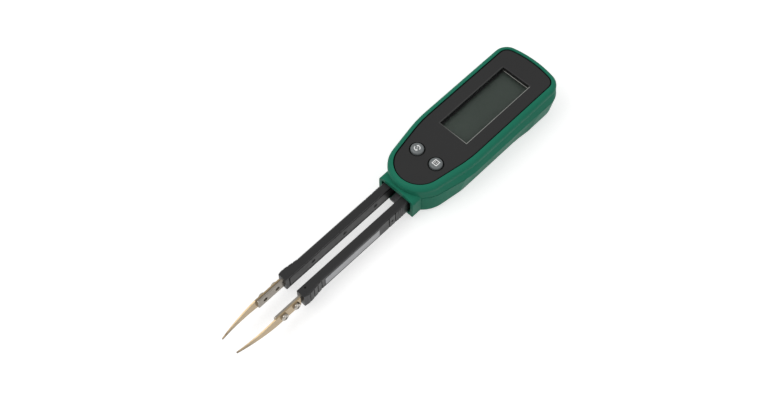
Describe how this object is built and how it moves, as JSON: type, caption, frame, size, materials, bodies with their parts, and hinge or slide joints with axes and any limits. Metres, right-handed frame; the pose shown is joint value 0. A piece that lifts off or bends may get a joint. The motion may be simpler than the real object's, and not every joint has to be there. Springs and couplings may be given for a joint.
{
  "type": "tweezer component tester",
  "caption": "Hand-held tester with a waisted case, recessed display and round keys, and sprung tweezer arms that end in curved metal test tips.",
  "frame": {"origin": "middle of the bounding box in plan, on the plane of the flat back", "axes": "+Z out of the display, +Y from the tips to the far end of the case, +X to the right"},
  "size_m": [0.0348, 0.181, 0.0194],
  "materials": {
    "case_green": "fine satin moulding, slightly soft to the touch",
    "panel_black": "fine matt",
    "window_clear": "clear, polished",
    "display_glass": "dark grey-green, satin",
    "key_grey": "satin grey",
    "arm_black": "fine matt",
    "label_silver": "plain foil sticker",
    "strip_nickel": "nickel plated",
    "tip_gold": "gold plated, satin",
    "screw_steel": "plated steel",
    "spring_steel": "bright",
    "cell_steel": "bright",
    "board_green": "solder resist",
    "resin_black": "satin",
    "inner_plastic": "plain",
    "connector_rubber": "plain"
  },
  "bodies": {
    "case": {"front_case": "case_green", "rear_case": "case_green", "front_panel": "panel_black", "display_window": "window_clear", "lcd_cell": "display_glass", "lcd_holder": "inner_plastic", "zebra_strips": "connector_rubber", "main_board": "board_green", "meter_chip": "resin_black", "key_switches": "resin_black", "arm_contacts": "spring_steel", "battery_tray": "resin_black", "battery_contacts": "spring_steel", "coin_cell": "cell_steel", "battery_cover": "case_green", "battery_cover_screw": "screw_steel", "case_screws": "screw_steel", "pivot_pins": "screw_steel", "nose_block": "arm_black", "return_spring": "spring_steel"},
    "left_arm": {"left_arm_shell": "arm_black", "left_arm_cover": "arm_black", "left_cover_screws": "screw_steel", "left_contact_strip": "strip_nickel", "left_tip": "tip_gold", "left_tip_screws": "screw_steel"},
    "right_arm": {"right_arm_shell": "arm_black", "right_arm_cover": "arm_black", "right_cover_screws": "screw_steel", "right_contact_strip": "strip_nickel", "right_tip": "tip_gold", "right_tip_screws": "screw_steel", "arm_label": "label_silver"},
    "function_key": {"function_key": "key_grey"},
    "hold_key": {"hold_key": "key_grey"}
  },
  "joints": [
    {"name": "left_arm_hinge", "type": "hinge", "parent": "case", "child": "left_arm", "pos_m": [-0.007, 0.0105, 0.008], "axis": [0, 0, 1], "range_deg": [0, 2.17], "stiffness_Nm_per_rad": 3.4, "springref_deg": -0.57, "deforming": ["return_spring"]},
    {"name": "right_arm_hinge", "type": "hinge", "parent": "case", "child": "right_arm", "pos_m": [0.007, 0.0105, 0.008], "axis": [0, 0, -1], "range_deg": [0, 2.17], "stiffness_Nm_per_rad": 3.4, "springref_deg": -0.57, "deforming": ["return_spring"]},
    {"name": "function_key_press", "type": "slide", "parent": "case", "child": "function_key", "axis": [0, 0, -1], "range_m": [0, 0.0004], "stiffness_N_per_m": 3000, "springref_m": -0.0001},
    {"name": "hold_key_press", "type": "slide", "parent": "case", "child": "hold_key", "axis": [0, 0, -1], "range_m": [0, 0.0004], "stiffness_N_per_m": 3000, "springref_m": -0.0001}
  ]
}
